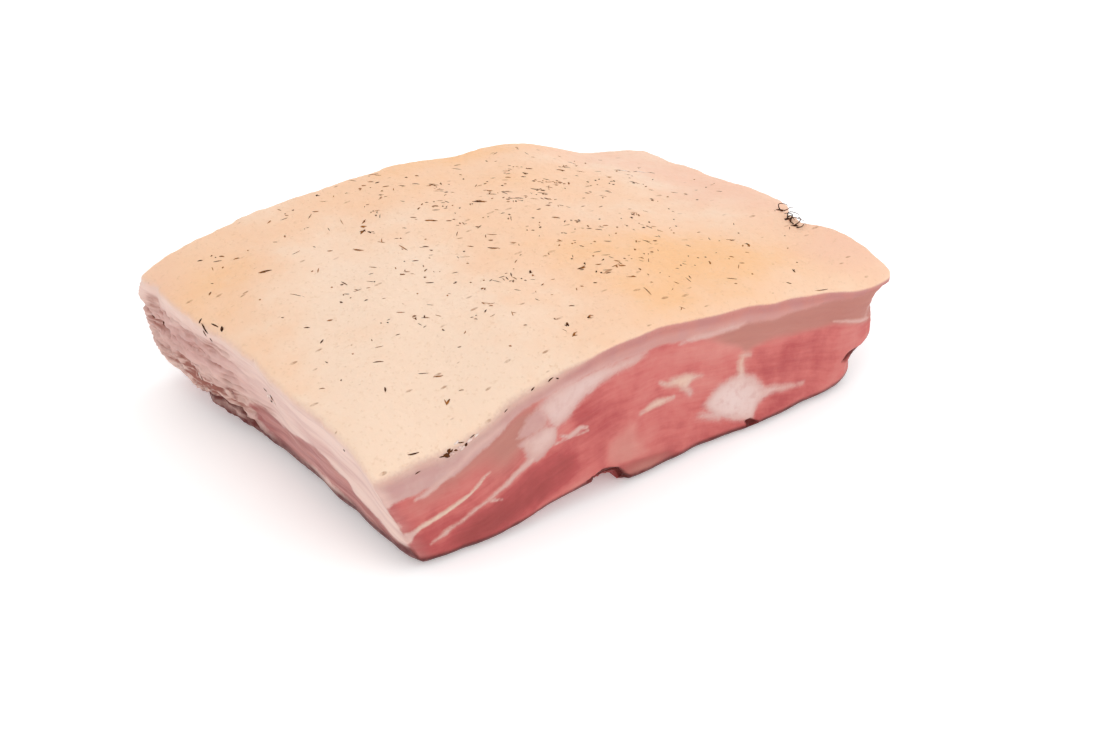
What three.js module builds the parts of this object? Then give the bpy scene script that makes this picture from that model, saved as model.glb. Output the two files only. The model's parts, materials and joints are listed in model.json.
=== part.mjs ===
// A slab of raw pork belly with its rind on, lying flesh side down on a flat surface.
// Millimetres, +Z up. X runs along the long cut face, Y across the slab from that face to the one behind.
// The origin is on the surface the slab lies on, below the middle of the rind.
// The slab is one solid: a box lattice whose points are carried onto the rind, the underside and the walls.

import * as THREE from "three";
import { mergeVertices } from "three/addons/utils/BufferGeometryUtils.js";

// Driving dimensions.
const slabLength = 264; // along X, over the rind
const slabWidth = 170; // along Y, over the rind
const halfLength = slabLength / 2;
const halfWidth = slabWidth / 2;

// How far each corner of the rind lies outside that rectangle, and how much it is rounded off.
const corners = {
  frontLeft: { outX: -3, outY: -1, round: 1 },
  frontRight: { outX: 2, outY: -1, round: 5 },
  backLeft: { outX: 4, outY: 4, round: 3 },
  backRight: { outX: 2, outY: -1, round: 5 },
};
const cornerHold = 2.5; // the higher, the sooner a corner's offset fades along the edges
const cornerReach = 0.1; // the share of a half edge that a corner's rounding takes

// Height of the rind above the surface at seven even stations along X, from left to right.
const frontCrest = [37, 48, 60, 63, 57, 46, 36]; // along the front cut
const backCrest = [52, 65.5, 68, 66.5, 60.5, 45, 30.5]; // along the back cut

// Between the crests the rind rises in a shoulder, nearer the front, most at the drooping ends.
const shoulder = { left: 16, middle: 3.5, right: 13.5, lean: 0.54 };

// Slow unevenness of the rind: waves of the given height and length.
const rindSwell = [
  { height: 0.8, lengthX: 97, lengthY: 140, phase: 0.6 },
  { height: 0.5, lengthX: 61, lengthY: -75, phase: 2.1 },
  { height: 0.3, lengthX: 38, lengthY: 52, phase: 4.0 },
];

// The foot is where the slab meets the surface: how far it is drawn in from the rind, and how round it is.
const footInset = { front: -1, back: 3, leftFront: 22, leftBack: 13, leftBow: 3.5, right: 29 };
const footRound = { front: 4, back: 5, left: 7, right: 3 };
const footBulge = { at: 76, reach: 26, out: 4 }; // the front foot spreads here

// Waves along the four edges of the rind, and the nicks that trimming left in them.
const edgeWave = { height: 0.9, length: 71 };
const edgeRipple = { height: 0.4, length: 23 };
const edgePhase = { left: 1.1, right: 3.4, front: 0.4, back: 2.2 };
const frontEvenness = 0.6; // the front cut is straighter than the others
const rightNicks = [
  { at: -21, depth: 3, reach: 5 },
  { at: -36, depth: 4, reach: 14 },
  { at: 23, depth: 1.6, reach: 6 },
  { at: 64, depth: 2.6, reach: 7 },
];
const leftNicks = [
  { at: 76, depth: 1.5, reach: 5 },
  { at: 30, depth: 1.2, reach: 12 },
];

// The rind stands out past the flesh on the right, most at the front corner.
const rindThickness = 3;
const rindLip = { least: 0.5, right: 2, frontRight: 9, fade: 40 };

// The thicker lower muscle starts in a step; left of it the underside is hollow towards the front.
const hollow = { height: 6.5, from: -92, peak: -27, step: -20, end: -13, deepTo: 35, deepFrom: -45 };
const cornerLift = { height: 12, reachX: 55, reachY: 85 }; // the back left corner lies off the surface

// On the right wall the lower muscle ends in a low flap, with the upper muscle swelling out above a seam.
const flap = { height: 5, reach: 3, out: 2.5 };
const seam = { height: 9.3, reach: 1.8, depth: 4.5 };
const swelling = { from: 9, full: 13, fade: 18, end: 42, out: 6 };
const backFade = { share: 0.6, from: -15, to: 75 }; // towards the back all three lose this share

// The lattice. Wall rows keep these distances from the foot and from the rind, with even rows between.
const segmentsX = 42;
const segmentsY = 27;
const footRows = [0, 2, 4.6, 7.5, 9.6, 12.6, 17];
const middleRows = 3;
const rindRows = [rindThickness + 1.6, rindThickness, 0];
const lastRow = footRows.length + middleRows + rindRows.length - 1;

const smooth = THREE.MathUtils.smoothstep; // smoothstep(x, min, max)
const mix = THREE.MathUtils.lerp;
const bell = (distance, reach) => Math.exp(-((distance / reach) ** 2));

// A smooth line through heights at even stations from -halfLength to halfLength.
function crestLine(heights) {
  const stations = heights.map((_, i) => mix(-halfLength, halfLength, i / (heights.length - 1)));
  const line = new THREE.CubicInterpolant(stations, heights, 1);
  return (x) => line.evaluate(THREE.MathUtils.clamp(x, -halfLength, halfLength))[0];
}
const frontHeight = crestLine(frontCrest);
const backHeight = crestLine(backCrest);

function swellAt(x, y) {
  return rindSwell.reduce(
    (sum, w) => sum + w.height * Math.sin(2 * Math.PI * (x / w.lengthX + y / w.lengthY) + w.phase),
    0,
  );
}

// Height of the rind above the surface.
function rindHeight(x, y) {
  const across = THREE.MathUtils.clamp((y + halfWidth) / slabWidth, 0, 1);
  const crest = mix(frontHeight(x), backHeight(x), across);
  const end = x < 0 ? shoulder.left : shoulder.right;
  const rise = mix(shoulder.middle, end, Math.min((x / halfLength) ** 2, 1));
  return crest + rise * Math.sin(Math.PI * across ** shoulder.lean) + swellAt(x, y);
}

// Height of the underside: flat on the surface, but for the hollow and the lifted corner.
function undersideHeight(x, y) {
  const climb = smooth(x, hollow.from, hollow.peak) ** 1.3;
  const drop = 1 - smooth(x, hollow.step, hollow.end);
  const depth = 1 - smooth(y, hollow.deepFrom, hollow.deepTo);
  const curl =
    smooth(-x, halfLength - cornerLift.reachX, halfLength) *
    smooth(y, halfWidth - cornerLift.reachY, halfWidth);
  return hollow.height * climb * drop * depth + cornerLift.height * curl;
}

function edgeOffset(along, shift) {
  const wave = edgeWave.height * Math.sin((2 * Math.PI * along) / edgeWave.length + shift);
  const ripple = edgeRipple.height * Math.sin((2 * Math.PI * along) / edgeRipple.length + 2 * shift);
  return wave + ripple;
}

function nickDepth(nicks, along) {
  return nicks.reduce((sum, n) => sum + n.depth * bell(along - n.at, n.reach), 0);
}

function cornerAt(u, v) {
  if (v < 0) return u < 0 ? corners.frontLeft : corners.frontRight;
  return u < 0 ? corners.backLeft : corners.backRight;
}

// The outline of the rind in plan, as the reach of each edge; u and v run from -1 to 1.
function rindPlan(u, v) {
  const x0 = u * halfLength;
  const y0 = v * halfWidth;
  const left = -halfLength + edgeOffset(y0, edgePhase.left) + nickDepth(leftNicks, y0);
  const right = halfLength + edgeOffset(y0, edgePhase.right) - nickDepth(rightNicks, y0);
  const front = -halfWidth + frontEvenness * edgeOffset(x0, edgePhase.front);
  const back = halfWidth + edgeOffset(x0, edgePhase.back);
  const corner = cornerAt(u, v);
  const pull = Math.abs(u * v) ** cornerHold; // 1 at the corner, fading along both edges
  const round = corner.round * Math.max(0, 1 - (2 - Math.abs(u) - Math.abs(v)) / cornerReach);
  return new THREE.Vector2(
    mix(left, right, (u + 1) / 2) + Math.sign(u) * (corner.outX * pull - round / 2),
    mix(front, back, (v + 1) / 2) + Math.sign(v) * (corner.outY * pull - round / 2),
  );
}

// How far the rind stands out past the flesh at a place on the outline.
function lipAt(u, v) {
  if (u < 1) return rindLip.least;
  const fromFront = smooth(v * halfWidth, -halfWidth, -halfWidth + rindLip.fade);
  return mix(rindLip.frontRight, rindLip.right, fromFront);
}

// The plan of the foot, drawn in from the rind's outline.
function footPlan(u, v) {
  const plan = rindPlan(u, v);
  const bow = footInset.leftBow * (1 - v * v);
  const left = mix(footInset.leftFront, footInset.leftBack, smooth(v, 0, 1)) + bow;
  const front = footInset.front - footBulge.out * bell(plan.x - footBulge.at, footBulge.reach);
  const insetX = u < 0 ? left : footInset.right;
  const insetY = v < 0 ? front : footInset.back;
  return new THREE.Vector2(plan.x - u * insetX, plan.y - v * insetY);
}

// The outward direction in plan at a wall point, and the foot's radius there.
function wallSide(u, v) {
  const out = new THREE.Vector2(Math.abs(u) === 1 ? u : 0, Math.abs(v) === 1 ? v : 0);
  const radiusX = u < 0 ? footRound.left : footRound.right;
  const radiusY = v < 0 ? footRound.front : footRound.back;
  const radius = out.x === 0 ? radiusY : out.y === 0 ? radiusX : (radiusX + radiusY) / 2;
  return { out: out.normalize(), radius };
}

// How far above the foot a wall row lies, on a wall of the given height.
function rowHeight(row, wallHeight) {
  if (row < footRows.length) return footRows[row];
  const fromTop = lastRow - row;
  if (fromTop < rindRows.length) return wallHeight - rindRows[rindRows.length - 1 - fromTop];
  const lowest = footRows[footRows.length - 1];
  const highest = wallHeight - rindRows[0];
  return mix(lowest, highest, (row - footRows.length + 1) / (middleRows + 1));
}

// How far the muscles stand out from the slope of the right wall, at height h above the foot.
function muscleOffset(u, v, h) {
  if (u < 1) return 0;
  const groove = seam.depth * bell(h - seam.height, seam.reach);
  const low = flap.out * bell(h - flap.height, flap.reach) - groove;
  const rising = smooth(h, swelling.from, swelling.full);
  const high = swelling.out * rising * (1 - smooth(h, swelling.fade, swelling.end));
  return (low + high) * (1 - backFade.share * smooth(v * halfWidth, backFade.from, backFade.to));
}

// Where a lattice point of the slab goes; row 0 is the underside and lastRow the rind.
function slabPoint(u, v, row) {
  const rind = rindPlan(u, v);
  const foot = footPlan(u, v);
  const top = rindHeight(rind.x, rind.y);
  const bottom = undersideHeight(foot.x, foot.y);
  if (row === 0) return new THREE.Vector3(foot.x, foot.y, bottom);
  const h = rowHeight(row, top - bottom);
  if (lastRow - row < 2) return new THREE.Vector3(rind.x, rind.y, bottom + h);
  const { out, radius } = wallSide(u, v);
  const share = h / (top - bottom);
  const round = radius * Math.sqrt(1 - (1 - Math.min(h / radius, 1)) ** 2) * (1 - share);
  const flesh = rind.clone().addScaledVector(out, -lipAt(u, v));
  const plan = foot.lerp(flesh, share).addScaledVector(out, round + muscleOffset(u, v, h));
  return new THREE.Vector3(plan.x, plan.y, bottom + h);
}

function slabGeometry() {
  const box = new THREE.BoxGeometry(2, 2, lastRow, segmentsX, segmentsY, lastRow);
  box.deleteAttribute("normal");
  box.deleteAttribute("uv");
  const position = box.getAttribute("position");
  const exact = (t) => (Math.abs(Math.abs(t) - 1) < 1e-6 ? Math.sign(t) : t); // the walls' u or v is 1 or -1
  for (let i = 0; i < position.count; i++) {
    const row = Math.round(position.getZ(i) + lastRow / 2);
    const p = slabPoint(exact(position.getX(i)), exact(position.getY(i)), row);
    position.setXYZ(i, p.x, p.y, p.z);
  }
  const slab = mergeVertices(box, 1e-3);
  slab.computeBoundingBox();
  const middle = slab.boundingBox.getCenter(new THREE.Vector3());
  slab.translate(-middle.x, -middle.y, -slab.boundingBox.min.z);
  slab.computeVertexNormals();
  return slab;
}

const rawPork = new THREE.MeshStandardMaterial({ color: 0xf3d0b4, roughness: 0.55, metalness: 0 });

const belly = new THREE.Mesh(slabGeometry(), rawPork);
belly.name = "pork_belly";

const porkBellySlab = new THREE.Group();
porkBellySlab.add(belly);

export default porkBellySlab;
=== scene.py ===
import json
import math
import random

import bmesh
import bpy
import numpy as np
from mathutils import Matrix, Vector, kdtree, noise
from mathutils.bvhtree import BVHTree

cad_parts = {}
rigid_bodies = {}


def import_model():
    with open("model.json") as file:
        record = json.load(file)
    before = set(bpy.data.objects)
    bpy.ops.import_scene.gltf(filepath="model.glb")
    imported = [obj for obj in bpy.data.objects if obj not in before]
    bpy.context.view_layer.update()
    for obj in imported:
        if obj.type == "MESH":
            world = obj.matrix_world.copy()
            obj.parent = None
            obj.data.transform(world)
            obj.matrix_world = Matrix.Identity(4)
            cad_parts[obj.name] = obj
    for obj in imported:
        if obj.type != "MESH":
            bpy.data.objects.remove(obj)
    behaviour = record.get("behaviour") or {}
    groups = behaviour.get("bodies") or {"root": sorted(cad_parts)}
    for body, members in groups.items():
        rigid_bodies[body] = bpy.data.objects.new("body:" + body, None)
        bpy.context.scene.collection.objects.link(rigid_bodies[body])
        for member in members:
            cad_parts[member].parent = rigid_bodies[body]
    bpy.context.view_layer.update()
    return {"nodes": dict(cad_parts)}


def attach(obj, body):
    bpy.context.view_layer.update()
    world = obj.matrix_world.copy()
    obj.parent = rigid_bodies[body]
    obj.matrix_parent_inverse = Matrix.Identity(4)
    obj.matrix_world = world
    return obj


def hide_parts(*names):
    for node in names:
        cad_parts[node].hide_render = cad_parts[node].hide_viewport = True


# A slab of raw pork belly, rind up. Metres; +X along the long front cut, +Y across, +Z up.

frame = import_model()
mm = 0.001


def linear(hexColour):
    parts = [int(hexColour[i:i + 2], 16) / 255 for i in (1, 3, 5)]
    straight = [c / 12.92 if c <= 0.04045 else ((c + 0.055) / 1.055) ** 2.4 for c in parts]
    return (*straight, 1.0)


def addNode(tree, kind, sockets=(), out=0, stops=(), **settings):
    # Sockets are named, or in order; a hex value is a colour. Gives the output that is asked for.
    made = tree.nodes.new("ShaderNode" + kind)
    for name, value in settings.items():
        setattr(made, name, value)
    for key, value in sockets.items() if isinstance(sockets, dict) else enumerate(sockets):
        if isinstance(value, bpy.types.NodeSocket):
            tree.links.new(value, made.inputs[key])
        else:
            made.inputs[key].default_value = linear(value) if isinstance(value, str) else value
    for number, (at, colour) in enumerate(stops):
        elements = made.color_ramp.elements
        stop = elements.new(at) if 0 < number < len(stops) - 1 else elements[0 if number == 0 else -1]
        stop.position, stop.color = at, linear(colour)
    return made.outputs[out] if made.outputs else made


def perMetre(size):
    return 1 / (size * mm)  # noise scale that gives features of this many millimetres


def meshFrom(bm, name):
    mesh = bpy.data.meshes.new(name)
    bm.to_mesh(mesh)
    bm.free()
    return mesh


def addObject(data, name):
    made = bpy.data.objects.new(name, data)
    bpy.context.scene.collection.objects.link(made)
    return made


# The body is made from a copy of the CAD mesh: its lattice of quads again, and then made fine.
bodyMesh = {
    "alongX": (3, 1),  # cuts per lattice cell, first everywhere, then on the rind and walls
    "alongY": (2, 1),
    "wallRow": 0.9,  # height of a row of faces on the walls, mm
    "rindRows": 2,  # cuts across the edge of the rind
    "rindThickness": 3.0,
    "rindSlope": 0.45,  # a face of the rind points up at least this much
    "cadMerge": 0.02, "seamMerge": 0.05,  # points this near each other are one, mm
}
rindRow, seamRow = 12, 11  # lattice rows: the rind's top edge, and where rind and flesh meet
underRow, sheetRow, sheetEdge = -1, -5, -4  # the underside, and the hidden sheet between rind and flesh
sheetBelow = -3  # rows under this are the hidden sheet
rowSlack = 0.001
halfX, halfY = 132, 85  # half the slab's outline, mm


def latticeFromCad():
    bm = bmesh.new()
    bm.from_mesh(frame["nodes"]["pork_belly"].data)
    bmesh.ops.remove_doubles(bm, verts=bm.verts, dist=bodyMesh["cadMerge"] * mm)
    bm.normal_update()
    row = bm.verts.layers.float.new("row")
    crest = bm.verts.layers.float_vector.new("crest")
    for v in bm.verts:
        v[row] = underRow
    # The rind is every face that is reached from the highest point without going over the edge.
    start = max(bm.verts, key=lambda v: v.co.z).link_faces[0]
    rind, queue = {start}, [start]
    while queue:
        for edge in queue.pop().edges:
            for face in edge.link_faces:
                if face not in rind and face.normal.z > bodyMesh["rindSlope"]:
                    rind.add(face)
                    queue.append(face)
    for face in rind:
        for v in face.verts:
            v[row] = rindRow + 1
    ring = [v for v in bm.verts if v[row] > rindRow and any(f not in rind for f in v.link_faces)]
    for v in ring:
        v[row] = rindRow
    # Each row of the walls is what hangs below the row before it.
    for number in range(rindRow - 1, -1, -1):
        ring = [e.other_vert(v) for v in ring for e in v.link_edges if e.other_vert(v)[row] == underRow]
        for v in ring:
            v[row] = number
    for number in range(rindRow, 0, -1):
        dropDiagonals(bm, row, number)
    for strictness in (0.3, 0.6, math.pi):  # the squarest pairs first
        loose = [f for f in bm.faces if len(f.verts) == 3]
        bmesh.ops.join_triangles(
            bm, faces=loose, angle_face_threshold=math.pi, angle_shape_threshold=strictness
        )
    # Every wall point remembers the place of the rind's edge above it.
    for v in bm.verts:
        v[crest] = v.co
    for number in range(rindRow, 0, -1):
        for v in [v for v in bm.verts if v[row] == number]:
            for edge in v.link_edges:
                if edge.other_vert(v)[row] == number - 1:
                    edge.other_vert(v)[crest] = v[crest]
    return bm, row, crest


def rowLinks(bm, row, number):
    return [e for e in bm.edges if {e.verts[0][row], e.verts[1][row]} == {number, number - 1}]


def dropDiagonals(bm, row, number):
    # Round the slab, uprights and diagonals take turns; the uprights are shorter in all.
    links = set(rowLinks(bm, row, number))
    order = [min(links, key=lambda e: e.index)]
    face = order[0].link_faces[0]
    while True:
        following = next(e for e in face.edges if e in links and e is not order[-1])
        if following is order[0]:
            break
        order.append(following)
        face = next(f for f in following.link_faces if f is not face)
    drop = max(order[0::2], order[1::2], key=lambda edges: sum(e.calc_length() for e in edges))
    bmesh.ops.dissolve_edges(bm, edges=drop, use_verts=False)


def runsAlongX(edge):
    step = edge.verts[1].co - edge.verts[0].co
    return abs(step.x) > abs(step.y)


def cutEdges(bm, edges, cuts):
    if cuts:
        bmesh.ops.subdivide_edges(bm, edges=edges, cuts=cuts, use_grid_fill=True)


bm, row, crest = latticeFromCad()
print("lattice:", len(bm.faces), "faces, quads:", sum(len(f.verts) == 4 for f in bm.faces))

# A sheet under the rind closes both pieces inside. It stays coarse, apart from its edge.
topFaces = [f for f in bm.faces if all(v[row] >= rindRow for v in f.verts)]
copied = bmesh.ops.duplicate(bm, geom=topFaces)["geom"]
sheetVerts = [g for g in copied if isinstance(g, bmesh.types.BMVert)]
for v in sheetVerts:
    v[row] = sheetEdge if v[row] <= rindRow else sheetRow
bmesh.ops.translate(bm, verts=sheetVerts, vec=(0, 0, -bodyMesh["rindThickness"] * mm))


def isShown(edge):
    a, b = (v[row] for v in edge.verts)
    return (a == b and a > -0.5) or min(a, b) > rindRow - rowSlack


def atFoot(edge):
    return all(underRow - 0.5 < v[row] < 0.5 for v in edge.verts)


directions = ((True, bodyMesh["alongX"]), (False, bodyMesh["alongY"]))
for passNumber in (0, 1):
    for isAlong, cuts in directions:
        level = [
            e for e in bm.edges
            if runsAlongX(e) == isAlong and (isShown(e) or (passNumber == 0 and atFoot(e)))
        ]
        cutEdges(bm, level, cuts[passNumber])
for isAlong, cuts in directions:
    spans = (cuts[0] + 1) * (cuts[1] + 1)
    border = [e for e in bm.edges if runsAlongX(e) == isAlong and all(v[row] == sheetEdge for v in e.verts)]
    cutEdges(bm, border, spans - 1)
for number in range(rindRow, 0, -1):
    links = rowLinks(bm, row, number)
    height = sum(e.calc_length() for e in links) / len(links) / mm
    rows = round(height / bodyMesh["wallRow"])
    cutEdges(bm, links, bodyMesh["rindRows"] if number == rindRow else rows - 1)

seam = [v for v in bm.verts if abs(v[row] - seamRow) < rowSlack or v[row] == sheetEdge]
bmesh.ops.remove_doubles(bm, verts=seam, dist=bodyMesh["seamMerge"] * mm)
for v in bm.verts:
    if v[row] == sheetEdge:
        v[row] = seamRow
bm.normal_update()
body = meshFrom(bm, "body")
print("body:", len(body.polygons), "faces")


# The layers are worked out in millimetres at every point of the body.
def readValues(items, name, count, kind=np.float32):
    values = np.empty(len(items) * count, kind)
    items.foreach_get(name, values)
    return values.reshape(-1, count) if count > 1 else values


points = readValues(body.vertices, "co", 3).astype(float) / mm
rowOf = readValues(body.attributes["row"].data, "value", 1).astype(float)
edgeAt = readValues(body.attributes["crest"].data, "vector", 3).astype(float) / mm  # the rind's edge above
edgeEnds = readValues(body.edges, "vertices", 2, np.int32)
body.calc_loop_triangles()
triangles = readValues(body.loop_triangles, "vertices", 3, np.int32)
triangles = triangles[rowOf[triangles].min(1) > sheetBelow]  # the hidden sheet gives no normals


def smooth(values, low, high):
    t = np.clip((values - low) / (high - low), 0, 1)
    return t * t * (3 - 2 * t)


def relax(places, groups, rounds, share):
    # A point in group 0 moves towards all its neighbours, in another group only along its own line.
    start, end = np.concatenate([edgeEnds, edgeEnds[:, ::-1]]).T
    use = (groups[start] >= 0) & ((groups[start] == 0) | (groups[start] == groups[end]))
    use &= rowOf[end] > sheetBelow
    start, end = start[use], end[use]
    near = np.bincount(start, minlength=len(places))
    moves = (near > 0)[:, None] * np.reshape(share, (-1, 1))
    near = np.maximum(near, 1)[:, None]
    for _ in range(rounds):
        sums = [np.bincount(start, places[end, k], len(places)) for k in range(3)]
        places = places + (np.stack(sums, 1) / near - places) * moves
    return places


def lengthsOf(vectors):
    return np.maximum(np.linalg.norm(vectors, axis=1), 1e-9)[:, None]


def normalsOf(places):
    a, b, c = (places[triangles[:, k]] for k in range(3))
    across = np.cross(b - a, c - a)
    total = np.stack([
        sum(np.bincount(triangles[:, k], across[:, axis], len(places)) for k in range(3))
        for axis in range(3)
    ], 1)
    return total / lengthsOf(total)


def grain(places, sizes, octaves=2, shift=0.0):
    # Fractal noise from about -1 to 1, with features of these millimetres along X, Y and Z.
    scaled = (places / np.array(sizes) + shift).tolist()
    return np.array([noise.fractal(p, 0.9, 2.0, octaves) for p in scaled])


onRing = np.abs(rowOf - rindRow) < rowSlack
onSeam = np.abs(rowOf - seamRow) < rowSlack
onTop = rowOf > rindRow + rowSlack
wall = rowOf > -rowSlack
hidden = rowOf < sheetBelow
ringPoints = points[onRing]
onCorner = np.zeros(len(points), bool)
for signX, signY in ((-1, -1), (1, -1), (-1, 1), (1, 1)):
    corner = ringPoints[np.argmax(ringPoints[:, 0] * signX + ringPoints[:, 1] * signY)]
    onCorner |= np.linalg.norm(edgeAt - corner, axis=1) < bodyMesh["seamMerge"]
onCorner &= wall & (rowOf < seamRow - rowSlack)
groups = np.zeros(len(points), int)
atFootRow = np.abs(rowOf) < rowSlack
for number, chosen in ((4, atFootRow), (3, onCorner), (1, onRing), (2, onSeam), (-1, hidden)):
    groups[chosen] = number

softness = {
    "latticeRounds": 26, "rounds": 18, "footRounds": 5, "share": 0.5,
    "left": 1.0, "right": 0.35, "front": 0.1, "back": 0.45,  # how far each side's top edge is rounded
    "reach": 7.0, "foot": 0.5,  # mm from the edge; share at the foot
}
points = relax(points, groups, softness["latticeRounds"], softness["share"])

# How far below the rind's edge a point is; on the rind, how far in from the edge, as less than 0.
ringPoints = points[onRing]
ringTree = kdtree.KDTree(len(ringPoints))
for number, place in enumerate(ringPoints):
    ringTree.insert(place, number)
ringTree.balance()
nearest = [ringTree.find(p) for p in points[onTop].tolist()]
edgeAt[onTop] = ringPoints[[found[1] for found in nearest]]
edgeAt[onRing] = ringPoints
depth = np.where(rowOf >= seamRow, (rindRow - rowOf) * bodyMesh["rindThickness"],
                 np.maximum(edgeAt[:, 2] - points[:, 2], bodyMesh["rindThickness"]))
depth[onTop] = [-found[2] for found in nearest]

# Each side's share of a point, from the place of the rind's edge above it: none to all, in mm.
sideFrom = {
    "front": (-76, -83), "left": (-123, -130), "leftStart": (-86, -78), "right": (122, 129), "back": (76, 83),
}
atFront = smooth(edgeAt[:, 1], *sideFrom["front"])
atLeft = smooth(edgeAt[:, 0], *sideFrom["left"]) * smooth(edgeAt[:, 1], *sideFrom["leftStart"])
atRight = smooth(edgeAt[:, 0], *sideFrom["right"])
atBack = smooth(edgeAt[:, 1], *sideFrom["back"])

softShare = np.maximum.reduce([
    softness["left"] * atLeft, softness["right"] * atRight,
    softness["front"] * atFront, softness["back"] * atBack,
])
softShare *= smooth(np.abs(depth), softness["reach"], 0.4 * softness["reach"])
footShare = softness["foot"] * smooth(points[:, 2], 5, 1) * (rowOf > underRow - 0.5) * (depth > 8)
everywhere = np.where(hidden, -1, 0)
points = relax(points, everywhere, softness["rounds"], softness["share"] * softShare)
points = relax(points, everywhere, softness["footRounds"], softness["share"] * footShare)

# The flesh swells a little at the foot, and the lower muscle begins in a steep step near the front.
footShape = {
    "swells": [  # side, where along it, reach, outwards; in mm
        ("front", -45, 55, 2), ("front", 6, 18, 1.2), ("front", 92, 20, 2.2), ("left", -66, 18, 2),
        ("left", 12, 16, 2), ("left", 46, 18, 1.2), ("left", -4, 8, 1),
    ],
    "swellTop": (24, 5),  # heights that it fades between
    "stepFrom": (-20.5, -13, -6),  # along X, before and after
    "stepTo": (-20.5, -18.1, -6),
    "stepReach": 8,
    "stepTop": (17, 8.5),
    "stepDeep": (-25, -45),
}
nearFoot = smooth(points[:, 2], *footShape["swellTop"])
for sideName, along, reach, out in footShape["swells"]:
    axis, share = (1, atFront) if sideName == "front" else (0, atLeft)
    bell = np.exp(-((points[:, 1 - axis] - along) / reach) ** 2)
    points[:, axis] -= out * bell * nearFoot * share * (rowOf > -0.5)
before = points[:, 0]
steeper = np.interp(before, footShape["stepFrom"], footShape["stepTo"])
stepShare = smooth(points[:, 2], *footShape["stepTop"]) * smooth(points[:, 1], *footShape["stepDeep"])
stepShare *= (np.abs(before - footShape["stepFrom"][1]) < footShape["stepReach"]) * (rowOf > underRow - 0.5)
points[:, 0] += (steeper - before) * stepShare
print("body smoothed")

farAway = 99.0  # mm
outside = -3.0  # what a mark gives well away from it


def strand(x, z, stops):
    # A streak as a chain of (x, z, half its thickness): millimetres inside it, less than 0 outside.
    best = np.full(x.shape, -farAway)
    for (x0, z0, r0), (x1, z1, r1) in zip(stops, stops[1:]):
        dx, dz = x1 - x0, z1 - z0
        t = np.clip(((x - x0) * dx + (z - z0) * dz) / (dx * dx + dz * dz), 0, 1)
        away = np.hypot(x - x0 - t * dx, z - z0 - t * dz)
        best = np.maximum(best, r0 + (r1 - r0) * t - away)
    return best


def patch(x, z, outline):
    # Millimetres inside a closed outline, less than 0 outside.
    inside = np.zeros(x.shape, bool)
    for (x0, z0), (x1, z1) in zip(outline, outline[1:] + outline[:1]):
        if z0 != z1:
            inside ^= ((z0 > z) != (z1 > z)) & (x < (x1 - x0) * (z - z0) / (z1 - z0) + x0)
    away = -strand(x, z, [(*corner, 0.0) for corner in outline + outline[:1]])
    return np.where(inside, away, -away)


def marks(x, z, patches=(), strands=()):
    # All of them together: 1 or more well inside, -1 or less well outside, by each one's soft border.
    best = np.full(x.shape, outside)
    for soft, outline in patches:
        best = np.maximum(best, patch(x, z, outline) / soft)
    for soft, stops in strands:
        best = np.maximum(best, strand(x, z, stops) / soft)
    return np.clip(best, outside, -outside)


def shades(x, z, spots, patches=()):
    # Sum of soft spots (x, z, reach along, reach across, tilt, amount) and (soft, amount, outline).
    total = np.zeros(x.shape)
    for x0, z0, along, across, tilt, amount in spots:
        c, s = math.cos(math.radians(tilt)), math.sin(math.radians(tilt))
        u = ((x - x0) * c + (z - z0) * s) / along
        v = ((z - z0) * c - (x - x0) * s) / across
        total += amount * np.exp(-(u * u + v * v))
    for soft, amount, outline in patches:
        total += amount * smooth(patch(x, z, outline), -soft, soft)
    return total


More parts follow.
